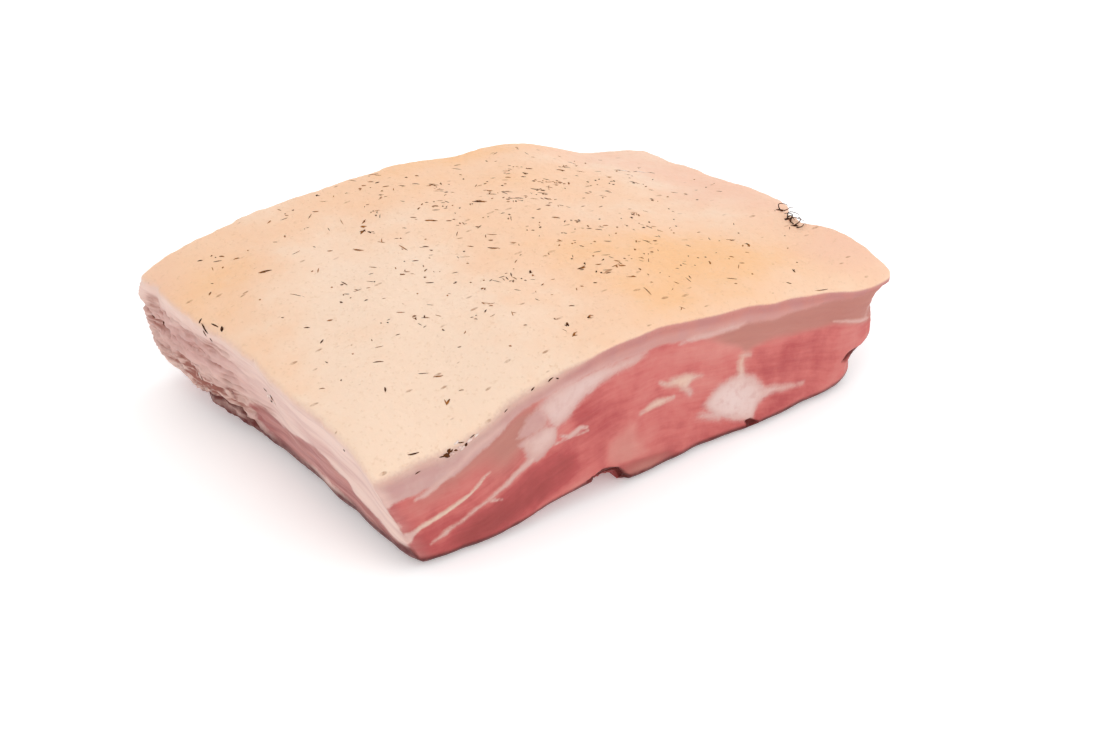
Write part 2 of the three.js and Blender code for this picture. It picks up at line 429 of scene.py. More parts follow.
# The long front cut, in millimetres along X and up Z. Each mark starts with its soft border.
frontCut = {
    "bandAt": (-132, -119, -106, -93, -80, -68, -55, -38, -20, 0, 20, 40, 60, 80, 100, 122),
    "bandThick": (10.5, 10.5, 11.5, 9.8, 8, 6.4, 5.8, 6.4, 8.2, 9, 9, 8.6, 7.6, 6, 4, 2.5),
    "bandSoft": 1.1,
    "dullPatches": [
        (1.2, [(-66, 37), (-61, 38.5), (-52, 40), (-48, 38), (-48, 34), (-49, 31), (-53, 28.5), (-58, 26.5),
          (-62, 28.5), (-63, 33)]),
        (1.6, [(-66, 40), (-60, 47), (-56, 49.5), (-51, 43), (-54, 39.5), (-62, 38.5)]),
    ],
    "brightPatches": [
        (1.8, [(-55.2, 48.9), (-51, 52), (-45.7, 54), (-40.7, 54.7), (-34.7, 55.3), (-27.3, 56),
          (-19.6, 55.6), (-8.6, 55), (-3, 54), (-8.7, 52.4), (-16.4, 51.6), (-24.2, 50.6), (-30.5, 47.9),
          (-34.6, 46.3), (-37.2, 44.4), (-41.1, 40.9), (-44.4, 39.2), (-47.7, 38), (-50.3, 40.2),
          (-52.3, 43.4), (-54.4, 47)]),
        (1.7, [(-63.4, 37.3), (-60.2, 37.5), (-56.1, 37.9), (-52.9, 39.5), (-48.9, 38.2), (-48.5, 35),
          (-49.3, 32.5), (-52.6, 30.8), (-54.8, 28.7), (-58.2, 27.8), (-61, 29.6), (-61.6, 32.2),
          (-62.5, 34.5)]),
        (1.6, [(25.5, 19.4), (28.8, 23.4), (33.3, 26), (39.2, 27.2), (45.7, 27), (50.3, 24.1), (53.3, 19.7),
          (56.5, 16.5), (55.2, 13.6), (51.2, 11.6), (49.4, 8.2), (48, 5.4), (43.2, 7), (35.7, 10.6),
          (29.2, 13.8)]),
        (1.4, [(5.6, 35.9), (10.2, 37.3), (16.6, 36.7), (24.9, 33.4), (20.1, 33), (17.9, 31), (15.8, 29.8),
          (12.1, 33.4)]),
        (1, [(14, 51.4), (20.8, 52.6), (27.5, 51.8), (34, 51.2), (41, 50.8), (47.5, 49.6), (44, 48.4),
          (36, 48.8), (27, 49.4), (20, 50.4)]),
    ],
    "brightStrands": [
        (0.9, [(-112, 30.6, 0.4), (-107.7, 31.9, 1), (-102.8, 34, 1.1), (-96, 37.3, 1.2),
          (-89.6, 40.3, 1.1), (-84.2, 43, 1), (-78.1, 45.5, 0.9), (-71.9, 47.2, 0.6)]),
        (0.55, [(-120, 15.2, 0.9), (-116.7, 16.3, 1), (-110.9, 18.2, 0.9), (-106, 19.5, 0.85),
          (-100.1, 20.6, 0.8), (-95.4, 22.4, 0.75), (-91.5, 24, 0.7), (-87.3, 25.8, 0.6),
          (-82.9, 28.3, 0.45), (-79, 30.4, 0.15)]),
        (0.9, [(-108, 10.2, 0.1), (-104, 11.2, 0.2), (-100.6, 12.4, 0.9), (-98, 13.3, 0.4),
          (-94.7, 14.4, 0.15), (-88.9, 16.6, 0.3), (-82.6, 18.6, 0.3), (-78.4, 20.5, 0.45),
          (-71.9, 22.7, 0.7), (-67.5, 24.8, 0.9), (-64.3, 26.4, 1.2), (-60, 28.4, 1.6)]),
        (0.6, [(-80, 18.6, 0.35), (-75, 17.2, 0.15)]),
        # Painted highlights: a chain of small glints, painted in the pale fat colour.
        (0.6, [(-46, 33.4, 0.3), (-42.5, 31.8, 0.7), (-38.6, 32.4, 1), (-36.7, 33.4, 0.9),
          (-33.8, 32.4, 0.6)]),
        (0.5, [(-49, 30.6, 0.25), (-43, 31, 0.3), (-38, 30.7, 0.3), (-33, 31, 0.2)]),
        (1, [(-8, 28.8, 0.3), (-3.2, 29.6, 1.1), (1.5, 29.8, 1.3), (6.5, 29.4, 1), (10.5, 29, 0.4)]),
        (0.8, [(3.4, 38.2, 0.4), (6, 36.4, 0.6), (10, 34.6, 0.5)]),
        (1.6, [(16, 31, 1.2), (18.5, 27.5, 0.6)]),
        (1.8, [(44, 26, 2.8), (44.8, 29.4, 1.4), (44.4, 32.4, 0.9), (45.6, 35.2, 0.8), (49.4, 34.6, 0.2)]),
        (1.3, [(54, 15.6, 2.4), (58, 15, 1.5), (63.1, 14.4, 1), (70.3, 12.4, 0.6), (77, 11.2, 0.1)]),
        (2.2, [(23, 15.4, 0.2), (27, 14.4, 0.9), (32, 13.2, 1.6)]),
        (0.6, [(97, 31.4, 0.1), (101, 30.2, 0.35), (105.3, 28.9, 0.6), (112.3, 26.6, 0.7), (118, 24.6, 0.9),
          (121.6, 23, 0.6)]),
        (0.9, [(117, 27, 0.3), (118.6, 22, 0.7), (117.6, 18, 0.3)]),
    ],
    # Painted shade: dark red-brown where shade falls in the notch under the front, the small hole, and the
    # crevice over the lower flap.
    "shadePatches": [
        (0.9, [(-36, 9.4), (-29, 12.2), (-24.1, 12.2), (-20.6, 11), (-17.6, 7.4), (-15, 3), (-15, -2),
          (-27, -2), (-31, 6)]),
        (0.8, [(43.6, 6.4), (47.4, 6.6), (51.5, 3.2), (53, 1), (48, 0.6), (45.6, 3.6)]),
        (1.2, [(100, 12.4), (104, 14.2), (113, 13.6), (115, 12.4), (112, 11.2), (103, 11)]),
    ],
    "tone": [
        (-112, 6, 14, 5, 0, -0.35), (24, 45, 24, 5, -6, 0.45), (-86, 36, 26, 7, 22, 0.25),
        (-100, 16, 20, 3.6, 14, -0.35), (-84, 10, 22, 5, 8, -0.3), (-103, 4, 12, 2.5, -5, 0.2),
        (-44, 10, 12, 2.4, 8, 0.35), (36, 40, 12, 6, -10, 0.25), (-33, 37, 10, 8, 0, -0.35),
        (-44, 35, 5, 3, 0, 0.4), (-30, 24, 14, 6, 10, -0.15), (108, 20, 10, 6, -20, 0.3),
        (92, 6, 14, 4, 0, 0.1), (27, 29, 7, 6, -20, 0.4), (62, 7, 12, 4, 10, -0.35), (4, 21, 16, 5, 5, 0.1),
        (-118, 8, 6, 7, 0, -0.3), (-10, 38, 16, 6, 0, 0.1),
    ],
    "toneAreas": [
        (5, -0.6, [(-104, 5), (-94, 11), (-78, 17), (-64, 23), (-52, 26), (-42, 24), (-38, 18), (-45, 12),
          (-66, 7), (-88, 4)]),
        (2.4, 0.6, [(-24, 22.4), (-15, 24.6), (-10.6, 25.4), (-10, 17.7), (-5.4, 11.4), (-17.7, 10.6),
          (-26, 14)]),
        # Painted shade: the lean under the notch's ledge is darker.
        (1.2, -0.55, [(-20.5, 11.8), (-12.1, 10.3), (-5.4, 9), (4, 7.6), (12, 4.6), (12, -2), (-18, -2)]),
        (4, -0.25, [(50, 29), (64.6, 31), (77.1, 30), (91, 24.6), (91, 17), (69.9, 17.6), (58, 18.8)]),
    ],
    "tan": [
        (-62, 43, 9, 7, 30, 1), (-90, 37, 24, 5, 22, 0.8), (-72, 36, 10, 8, 30, 0.8),
        # The spot at -8, 5 browns the lean under the notch's ledge: painted shade.
        (-17, 17, 8, 8, 0, 0.35), (-8, 5, 12, 4, 0, 0.8),
    ],
    "tanBorderAt": (18, 27, 34, 40, 45, 47.6, 54.6, 63.6, 71.2, 83.9, 96.6, 109.6, 122),
    "tanBorder": (52.5, 48.6, 45.4, 42.4, 39.6, 36.6, 37.8, 37.4, 35.4, 33.3, 30.8, 26.8, 22),
    "tanBandFrom": (20, 40),
    "white": [(40, 17, 18, 10, -20, 1), (-52, 36, 9, 10, 0, 0.4), (-36, 50, 20, 7, 20, 0.6)],
    "cream": [
        (-100, 20, 24, 7, 18, 1), (14, 35, 12, 5, 0, 0.6), (0, 29, 10, 3, 0, 0.6), (44, 33, 7, 5, 0, 0.7),
    ],
    "greyTo": (10, -95),
}

# The left side: smooth fat over a strip of lean, then folds of skin-like tissue towards the back.
leftSide = {
    "lean": [
        (1.8, [(-85, 9), (-79, 11), (-72.5, 13), (-67.3, 15.4), (-59, 16.5), (-51.9, 18.5), (-49.7, 23.8),
          (-44, 26.3), (-38.4, 30.6), (-33.7, 32.6), (-23.9, 29), (-16.1, 27), (0.3, 20.8), (5.6, 22.6),
          (9.4, 26.5), (14.8, 25.2), (24, 20), (23.6, 14.4), (16.9, 11.4), (11, 10), (2.7, 8), (-7.4, 9),
          (-20, 11.6), (-32, 13.6), (-38.3, 11.6), (-44.6, 10.4), (-50, 8.4), (-59, 7.6), (-67.3, 7.4),
          (-78, 6.6), (-85, 6)]),
    ],
    "brightStrands": [
        (0.8, [(-74, 6.4, 0.5), (-62, 5, 0.8), (-52, 6, 0.9), (-39.3, 7.6, 1), (-27, 9.2, 1.1),
          (-14.8, 8, 1.1), (-3, 6.2, 1), (8.5, 6.8, 1), (19.7, 9.9, 0.9), (29.4, 15.4, 0.9),
          (34.3, 21.8, 0.8), (39.4, 23.8, 0.8), (45.5, 25.6, 0.8), (56, 27, 0.8), (65.2, 29.4, 0.8),
          (84, 23.4, 0.5)]),
        (0.8, [(27, 38.5, 0.2), (38.5, 40, 0.7), (55.4, 33.4, 0.7), (70.8, 29.6, 0.8), (80, 28, 0.6)]),
        (0.6, [(28.4, 25.4, 0.3), (38.9, 24.2, 0.5), (46.1, 22, 0.5), (58, 20, 0.3)]),
        (0.6, [(44, 44, 0.2), (60, 40, 0.5), (76, 36, 0.5), (84, 33, 0.3)]),
    ],
    # Painted shade: dark strokes where shade falls in the crevice under the folds, in a tear, and along the
    # bottom edge.
    "shadeStrands": [
        (1, [(76, 9.5, 0.8), (68, 10.5, 1.5), (60.2, 10.8, 1.7), (49.2, 12.2, 1.8), (40.4, 13.2, 1.7),
          (33, 13.4, 1.3), (26, 10, 0.8), (16, 7.2, 0.5)]),
        (0.9, [(30, 17, 0.2), (34, 19.6, 0.4), (37, 22.4, 0.2)]),
        (0.8, [(-66, 3.4, 0.3), (-44, 4.6, 0.6), (-24, 6.6, 0.6), (-6, 5, 0.6), (10, 4.8, 0.5),
          (20, 7, 0.3)]),
    ],
    # Brown tissue; the spots at 46 and 62 along are painted shade above the crevice.
    "brown": [
        (12, 25, 9, 3.4, -8, 1), (-8, 20, 14, 3, -8, 0.5), (-40, 27, 12, 3, 20, 0.45),
        (-62, 13, 9, 3, 10, 0.5), (62, 19, 26, 4.4, 4, 1), (86, 33, 5, 4, 0, 0.8), (46, 18, 12, 4, 0, 0.7),
        (80, 42, 5, 3, 20, 0.6),
    ],
    "tone": [
        (-34, 24, 20, 7, 0, 0.15), (-62, 9, 10, 6, 0, -0.1), (12, 24, 12, 5, 0, -0.25),
        (60, 18, 26, 5, 0, -0.5),
    ],
    # Painted shade in the furrows between the folds.
    "furrowShade": 0.75,
    "pink": [(60, 34, 34, 12, -8, 0.9), (-40, 36, 22, 4, 8, 0.6), (20, 33, 22, 7, 0, 0.5)],
    "foldSize": (30, 24, 4.6),
    "foldsFrom": (2, 40),
}

# The other sides' layers follow the rind: fat, lean, a streak of fat, lean, a seam of fat, lean.
# Each is a size in mm and its waves round the slab: (how much, length, shift).
otherSides = {
    "band": (8.5, (2.5, 31, 0), (1.2, 11, 2)),
    "upperDepth": (20, (3, 37, 2), (1.2, 13, 4)),
    "upperFat": (0.9, (1.5, 23, 1)), "upperBright": (0.2, (1.3, 23, 1)),
    "lowerHeight": (12, (3.5, 33, 0.7), (1.4, 12, 1)),
    "lowerFat": (1.6, (2.0, 29, 2.4)), "lowerBright": (0.6, (1.6, 29, 2.4)),
    "deepDepth": (31, (4, 27, 1)), "deepFat": (1.2, (2.4, 19, 5)),
    "bandLine": (0.7, (0.6, 17, 3)), "tone": (0, (0.3, 21, 0), (0.2, 9, 2)),
}
borderWander = (9, 9, 9)  # mm, the size of what makes every border uneven
# The underside: silver skin over lean, with fat in the furrows where the ribs lay.
underside = {"ribGap": 27, "sway": 5, "swayLength": 23, "fat": (2.4, 2.5), "bright": (1.2, 1.5), "soft": 1.5}

fieldNames = (
    "fat", "bright", "tone", "tan", "white", "cream", "paintedShade", "foot", "grey", "pink", "brown", "side",
    "skin", "stain", "blush", "rim",
)
fields = {name: np.zeros(len(points)) for name in fieldNames}
wander = np.stack([grain(points, borderWander, 2, shift) for shift in (0.0, 30.0)], 1)
atX, atY, atZ = points.T
around = 300 + np.where(atRight > 0.5, atY, halfX + halfY - atX)


def wavy(name):
    size, *waves = otherSides[name]
    return size + sum(much * np.sin(around / length + shift) for much, length, shift in waves)


def mixField(name, values, weight):
    fields[name] = fields[name] * (1 - weight) + values * weight


bandEdge = wavy("band") + wander[:, 0]
upper = np.abs(depth - wavy("upperDepth") - wander[:, 0])
lower = np.abs(atZ - wavy("lowerHeight") - wander[:, 1])
deepest = np.abs(depth - wavy("deepDepth"))
fields["fat"] = np.maximum.reduce([
    bandEdge - depth, wavy("upperFat") - upper, wavy("lowerFat") - lower, wavy("deepFat") - deepest,
])
fields["bright"] = np.maximum.reduce([
    wavy("upperBright") - upper, wavy("lowerBright") - lower, wavy("bandLine") - np.abs(depth - bandEdge + 1),
])
fields["tone"] = wavy("tone") - 0.5 * smooth(depth, 24, 44)
# The painted crevice shade is none away from its marks.
fields["paintedShade"] += outside

left = atLeft * wall
y, z = atY + 0.8 * wander[:, 0], atZ + 0.8 * wander[:, 1]
leanHere = marks(y, z, leftSide["lean"])
bright = marks(y, z, strands=leftSide["brightStrands"])
folds = 1 - 2 * np.abs(grain(points, leftSide["foldSize"], 4, 5.2))
foldShare = left * smooth(atY, *leftSide["foldsFrom"]) * smooth(depth, 3, 12)
# Painted shade: the furrows between the folds are coloured brown.
shadedFurrows = smooth(folds, 0.6, 0.15) * foldShare
for name, values in (
    ("fat", np.maximum(-leanHere, bright)), ("bright", bright), ("tone", shades(y, z, leftSide["tone"])),
    ("paintedShade", marks(y, z, strands=leftSide["shadeStrands"])), ("pink", shades(y, z, leftSide["pink"])),
    ("brown", shades(y, z, leftSide["brown"]) + leftSide["furrowShade"] * shadedFurrows), ("side", 1.0),
):
    mixField(name, values, left)

front = atFront * wall * (1 - left)
x, z = atX + 0.6 * wander[:, 0], atZ + 0.6 * wander[:, 1]
band = (np.interp(x, frontCut["bandAt"], frontCut["bandThick"]) - depth) / frontCut["bandSoft"]
bright = marks(x, z, frontCut["brightPatches"], frontCut["brightStrands"])
overTan = z - np.interp(x, frontCut["tanBorderAt"], frontCut["tanBorder"])
tanBand = smooth(overTan, -2.4, 1.6) * smooth(x, *frontCut["tanBandFrom"])
for name, values in (
    ("fat", np.maximum.reduce([band, bright, marks(x, z, frontCut["dullPatches"])])), ("bright", bright),
    ("tone", shades(x, z, frontCut["tone"], frontCut["toneAreas"]) + 0.3 * tanBand),
    ("tan", np.minimum(shades(x, z, frontCut["tan"]) + tanBand, 1)),
    ("white", shades(x, z, frontCut["white"])), ("cream", shades(x, z, frontCut["cream"])),
    ("paintedShade", marks(x, z, frontCut["shadePatches"])),
):
    mixField(name, values, front)
fields["grey"] = np.maximum(smooth(atX, *frontCut["greyTo"]) * atFront, left)

below = smooth(-rowOf, 0, 0.6) * ~hidden
swayed = atX + underside["sway"] * np.sin(atY / underside["swayLength"]) + 3 * wander[:, 0]
furrow = np.abs(swayed % underside["ribGap"] - underside["ribGap"] / 2)
for name in ("fat", "bright"):
    thick, wave = underside[name]
    values = thick - furrow + wave * np.sin(atY / 17) * np.sin(atX / 40)
    mixField(name, values / underside["soft"], below)
mixField("tone", 0.3 * np.sin(atX / 31) + 0.3 * np.sin(atY / 21 + 1), below)
# Painted contact shadow: wall faces that point down near the floor get a dark red-brown, up to this height.
shadeTop = np.where(left > 0.5, 8.5, 13.0)  # how high the painted shade reaches, mm; lower on the left, where the lean hangs over
fields["foot"] = smooth(-normalsOf(points)[:, 2], 0.0, 0.34) * smooth(rowOf, -0.5, 0)
fields["foot"] *= smooth(atZ, 1.6 * shadeTop, shadeTop)
# Evened out, so that the fibres that follow it don't break from one row of faces to the next.
evenDepth = relax(np.stack([depth] * 3, 1), np.where((depth > 4) & wall, 0, -1), 90, 0.5)[:, 0]
fields["depth"] = evenDepth

# The rind: where its skin gives way to cut fat, and its stains.
rindLook = {
    "border": {"frontLeft": -1.4, "front": 0.5, "left": 0.6, "rest": 1.4},  # depth of the skin's end, mm
    "soft": {"frontLeft": 2.2, "front": 0.7, "left": 3.4, "rest": 1},  # its width
    "pale": 0.9,
    "paleTo": {"frontLeft": 6.5, "front": 1.6, "left": 7, "rest": 2},  # fat is paler above this
    "stain": [
        (40, -56, 62, 36, 22, 0.95), (16, -20, 44, 26, 10, 0.35), (52, 34, 44, 26, -10, 0.5),
        (122, -50, 20, 40, 0, 0.5), (-20, 66, 60, 30, -10, 0.55), (-118, 62, 34, 34, 0, 0.75),
        (-10, 5, 40, 36, 0, 0.35), (90, -60, 40, 26, -30, 0.35), (62, 78, 50, 20, 0, 0.25),
        (-128, 0, 22, 40, 0, 0.35), (30, 84, 70, 12, 0, 0.5),
    ],
    "blush": [
        (122, 20, 36, 56, 0, 1), (90, 76, 40, 20, 0, 0.5), (124, -62, 26, 24, 0, 0.8),
        (-130, 74, 20, 22, 0, 0.5),
    ],
}


def byEdge(values):
    atFrontLeft = atFront * smooth(edgeAt[:, 0], -20, -62)
    mixed = np.full(len(points), values["rest"])
    for share, name in ((atFront, "front"), (atFrontLeft, "frontLeft"), (atLeft, "left")):
        mixed = mixed * (1 - share) + values[name] * share
    return mixed


fields["skin"] = np.clip((byEdge(rindLook["border"]) - depth) / byEdge(rindLook["soft"]), -4, 4)
fields["rim"] = rindLook["pale"] * smooth(depth / byEdge(rindLook["paleTo"]), 1, -0.6)
fields["stain"] = shades(atX, atY, rindLook["stain"])
fields["blush"] = shades(atX, atY, rindLook["blush"])
print("layers laid out")

# How far things stand out, in mm. A grain is how far, its size along X, Y and Z, octaves and shift.
relief = {
    "fatProud": 0.3, "brightProud": 0.12, "darkDeep": 2.2, "foldProud": 2.2,
    "lump": (0.4, (17, 17, 12), 2, 3.1),
    "fibre": (0.16, (16, 16, 1.6), 2, 7.7),
    "grit": (0.04, (2.4, 2.4, 2.0), 2, 1.3),
    "rindSwell": (0.3, (42, 42, 42), 2, 9.4),
    "rindWrinkle": (0.14, (9, 7, 9), 3, 2.6),
    "rindPebble": (0.07, (1.9, 1.9, 1.9), 1, 6.5),
    "edgeRagged": (0.6, (5, 5, 5), 3, 4.4),
    "dents": [  # x, y, reach, inwards
        (128, -35, 9, 6.5), (129, -25, 4, 3), (-134, 77, 3, 2), (112, 4, 5, 1.2), (133, -79, 6, -1.4),
    ],
    "dentReach": 16,  # how far in over the rind a dent fades out
    "sags": [(-58, 90, 32, 1.7), (20, 90, 26, 1.6), (-116, 88, 26, -2.0)],  # x, y, reach, down
}


def bells(places, spots):
    # Sum of round bells (x, y, reach, amount).
    return sum(much * np.exp(-((places[:, 0] - x) ** 2 + (places[:, 1] - y) ** 2) / reach ** 2)
               for x, y, reach, much in spots)


def carved(name, places):
    much, *rest = relief[name]
    return much * grain(places, *rest)


normals = normalsOf(points)
outwards = np.zeros(len(points))
at = np.flatnonzero(wall & (rowOf < seamRow - rowSlack))
alongLayers = np.stack([atX, atY, np.where(atFront > 0.3, evenDepth, atZ)], 1)
lean = smooth(fields["fat"][at], 0.7, -0.7)
outwards[at] = (
    relief["fatProud"] * smooth(fields["fat"][at], -0.8, 0.8)
    + relief["brightProud"] * smooth(fields["bright"][at], -0.8, 0.8)
    + carved("lump", points[at]) + carved("grit", points[at])
    + carved("fibre", alongLayers[at]) * (0.3 + 0.7 * lean)
    + relief["foldProud"] * (folds * foldShare)[at]
    - relief["darkDeep"] * smooth(fields["paintedShade"][at], -0.3, 1.4)
)
outwards[at] *= smooth(seamRow - rowOf[at], 0, 0.6) * smooth(atZ[at], -0.5, 2.5)
at = np.flatnonzero(onTop | onRing)
wrinkle, *wrinkles = relief["rindWrinkle"]
outwards[at] = (0.25 + 0.75 * smooth(-depth[at], 0, 5)) * (
    carved("rindSwell", points[at]) + carved("rindPebble", points[at])
    + wrinkle * (1 - 2 * np.abs(grain(points[at], *wrinkles)))
)
points = points + normals * outwards[:, None]
points[:, 2] -= bells(points, relief["sags"]) * np.clip(points[:, 2] / 45, 0, 1)

# Trimming left the rind's edge a little ragged, the front cut least.
edgeZone = np.flatnonzero((rowOf >= seamRow - 5) & (depth > -relief["dentReach"]))
plan = points[edgeZone] * (1, 1, 0)
outPlan = np.sign(plan) * np.abs(plan / (halfX, halfY, 1)) ** 14  # square to the nearest side
outPlan /= lengthsOf(outPlan)
raggedShare = smooth(depth[edgeZone], -5, -0.5) * smooth(rowOf[edgeZone], seamRow - 1.5, seamRow)
ragged = carved("edgeRagged", plan) * (1 - 0.85 * smooth(-outPlan[:, 1], 0.3, 0.9))
dentShare = smooth(depth[edgeZone], -relief["dentReach"], -0.5)
dentShare *= smooth(rowOf[edgeZone], seamRow - 5, seamRow - 0.5)
points[edgeZone] += outPlan * (ragged * raggedShare - bells(plan, relief["dents"]) * dentShare)[:, None]
points[:, 2] = np.maximum(points[:, 2], 0)
print("relief carved")


# The rind and the flesh are two closed pieces that share the hidden sheet.
body.vertices.foreach_set("co", (points * mm).astype(np.float32).ravel())
for name, values in fields.items():
    body.attributes.new(name, "FLOAT", "POINT").data.foreach_set("value", values.astype(np.float32))


def makePiece(name, keep, flipSheet):
    bm = bmesh.new()
    bm.from_mesh(body)
    row = bm.verts.layers.float["row"]
    sheet = [f for f in bm.faces if min(v[row] for v in f.verts) < sheetBelow]
    inSheet = set(sheet)
    gone = [f for f in bm.faces if f not in inSheet and not keep([v[row] for v in f.verts])]
    if flipSheet:
        bmesh.ops.reverse_faces(bm, faces=sheet)
    bmesh.ops.delete(bm, geom=gone, context="FACES")
    for face in bm.faces:
        face.smooth = True
    for face in sheet:  # a crease where the hidden sheet meets the outside
        for edge in face.edges:
            edge.smooth = all(f in inSheet for f in edge.link_faces)
    mesh = meshFrom(bm, name)
    for spare in ("row", "crest"):
        mesh.attributes.remove(mesh.attributes[spare])
    return addObject(mesh, name)


rind = makePiece("rind", lambda rows: min(rows) > seamRow - rowSlack, True)
flesh = makePiece("flesh", lambda rows: max(rows) < seamRow + rowSlack, False)
for piece, slot in ((rind, "rind"), (flesh, "flesh")):
    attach(piece, "root")
    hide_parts("pork_belly")
print("pieces:", len(rind.data.polygons), "and", len(flesh.data.polygons), "faces")


def newMaterial(name):
    material = bpy.data.materials.new(name)
    material.use_nodes = True
    material.node_tree.nodes.clear()
    return material, material.node_tree


def addShader(tree, sockets, **settings):
    shader = addNode(tree, "BsdfPrincipled", sockets, **settings)
    addNode(tree, "OutputMaterial", {"Surface": shader})


smoothly = {"interpolation_type": "SMOOTHSTEP"}
times, timesPlus = {"operation": "MULTIPLY"}, {"operation": "MULTIPLY_ADD"}


def readFields(tree, names):
    return {name: addNode(tree, "Attribute", out="Fac", attribute_name=name) for name in names}


def layOver(tree, colour, layers):
    # Each colour goes over the last by its share: a socket, or a value and the steps it goes between.
    for share, over in layers:
        if isinstance(share, tuple):
            share = addNode(tree, "MapRange", share, **smoothly)
        colour = addNode(tree, "Mix", {0: share, 6: colour, 7: over}, 2, data_type="RGBA")
    return colour


def makePatterns(tree, place, table):
    # One mottled pattern for each row of size in mm, detail and roughness.
    return [
        addNode(tree, "TexNoise", {
            "Vector": place, "Scale": perMetre(size), "Detail": detail, "Roughness": rough,
        })
        for size, detail, rough in table
    ]


def swing(tree, value, patterns):
    # The value goes up and down with each pattern, by so much.
    for pattern, much in patterns:
        centred = addNode(tree, "Math", (pattern, 0.5), operation="SUBTRACT")
        value = addNode(tree, "Math", (centred, much, value), **timesPlus)
    return value


# Raw pork, cut with a knife: moist lean in fine fibres, and waxy fat that lets a little light in.
pork = {
    "deep": "#92413f", "red": "#ae504f", "lean": "#c26863", "pale": "#cf8a80",
    "leanStops": {"deep": 0.0, "red": 0.3, "lean": 0.52, "pale": 1.0},
    "tan": "#ab6d63", "tanPale": "#b67c70",
    "fat": "#be7c73", "fatGrey": "#bd9791", "fatSide": "#e4c6ba", "fatPink": "#cfa39c", "mauve": "#b07a79",
    "bright": "#cda69d", "white": "#d8bfb9", "cream": "#dcc0a8", "rim": "#dcb9a6",
    "sideLean": "#bd8982", "sideDeep": "#9c6260",
    # The two darkest red-browns are painted shade: in crevices and notches, and the contact shadow along the
    # foot.
    "brown": "#9c655a", "paintedShade": "#5a120b", "footShadow": "#5a1312",
    "roughness": (0.36, 0.52), "bumps": 0.3,  # mm
    # Mottling: size in mm, detail and roughness.
    "fibres": [(1.3, 3.0, 0.5), (4.16, 3.0, 0.55)],
    "fibreDrawn": (0.11, 0.11, 1.0),  # nine times as long as thick
    "mottling": [(4.0, 3.0, 0.6), (1.1, 2.0, 0.5), (12.0, 3.0, 0.55)],
}
softLight = {
    "Subsurface Weight": 0.2, "Subsurface Radius": (1.0, 0.45, 0.3), "Subsurface Scale": 1.2 * mm,
}


def porkColour(tree, place):
    here = readFields(tree, fieldNames[:-3] + ("rim", "depth"))
    # Layers run level with the rind, so fibres are drawn out along it and thin in depth.
    parts = addNode(tree, "SeparateXYZ", (place,)).node.outputs
    level = addNode(tree, "Math", (here["depth"], -mm), **times)
    layered = addNode(tree, "CombineXYZ", (parts[0], parts[1], level))
    stretched = addNode(tree, "Mapping", {"Vector": layered, "Scale": pork["fibreDrawn"]})
    fibres, wideFibres = makePatterns(tree, stretched, pork["fibres"])
    ripple, fine, blotch = makePatterns(tree, place, pork["mottling"])

    shift = swing(tree, 0.0, ((fine, 0.9), (ripple, 1.7), (fibres, 0.9)))  # no border is a clean line
    fatHere = addNode(tree, "Math", (here["fat"], shift))
    brightHere = addNode(tree, "Math", (shift, 0.7, here["bright"]), **timesPlus)
    shadeHere = addNode(tree, "Math", (shift, 0.6, here["paintedShade"]), **timesPlus)
    brownFibres = addNode(tree, "MapRange", (fibres, 0.3, 0.65), **smoothly)
    shadowRipple = addNode(tree, "MapRange", (ripple, 0.25, 0.6, 0.75, 1.0), **smoothly)

    tone = swing(tree, here["tone"], ((fibres, 0.4), (wideFibres, 0.5), (blotch, 0.85), (ripple, 0.35)))
    tone = addNode(tree, "MapRange", (tone, -1.2, 1.2), **smoothly)
    leanStops = [(at, pork[name]) for name, at in pork["leanStops"].items()]
    lean = addNode(tree, "ValToRGB", (tone,), stops=leanStops)
    tanned = layOver(tree, pork["tan"], [(wideFibres, pork["tanPale"])])
    sideLean = layOver(tree, pork["sideLean"], [((wideFibres, 0.35, 0.65), pork["sideDeep"])])
    mostlySide = addNode(tree, "Math", (here["side"], 0.85), **times)
    lean = layOver(tree, lean, [(here["tan"], tanned), (mostlySide, sideLean)])

    sideFat = layOver(tree, pork["fatSide"], [
        (here["pink"], pork["fatPink"]), ((wideFibres, 0.42, 0.7, 0.0, 0.32), pork["mauve"]),
    ])
    dull = layOver(tree, pork["fat"], [
        (here["grey"], pork["fatGrey"]), ((blotch, 0.4, 0.62, 0.0, 0.5), pork["mauve"]),
        ((here["depth"], 3.0, 6.5, 0.0, 0.3), pork["bright"]), (here["side"], sideFat),
    ])
    pale = layOver(tree, pork["bright"], [
        (here["white"], pork["white"]), (here["cream"], pork["cream"]),
        ((ripple, 0.45, 0.7, 0.0, 0.35), dull),
    ])
    colour = layOver(tree, lean, [
        ((fatHere, -0.9, 0.9), dull), ((brightHere, -1.6, 2.0), pale),
        # brown tissue, with painted shade above the crevice and in the furrows of the folds
        (addNode(tree, "Math", (here["brown"], brownFibres), **times), pork["brown"]),
        (here["rim"], pork["rim"]),
        # painted contact shadow along the foot
        (addNode(tree, "Math", (here["foot"], shadowRipple), **times), pork["footShadow"]),
        # painted shade in the crevices, notches and the tear
        ((shadeHere, -0.6, 1.0, 0.0, 0.92), pork["paintedShade"]),
    ])
    return colour, fibres, fine


def finishMeat(tree, colour, rough, bumpHeight, bumpDistance, coat):
    bump = {"Height": bumpHeight, "Distance": bumpDistance * mm, "Strength": 1.0}
    addShader(tree, {
        "Base Color": colour, "Roughness": rough, "Normal": addNode(tree, "Bump", bump),
        "IOR": 1.4, "Specular IOR Level": 0.22, "Coat Weight": coat, "Coat Roughness": 0.28, **softLight,
    }, subsurface_method="BURLEY")


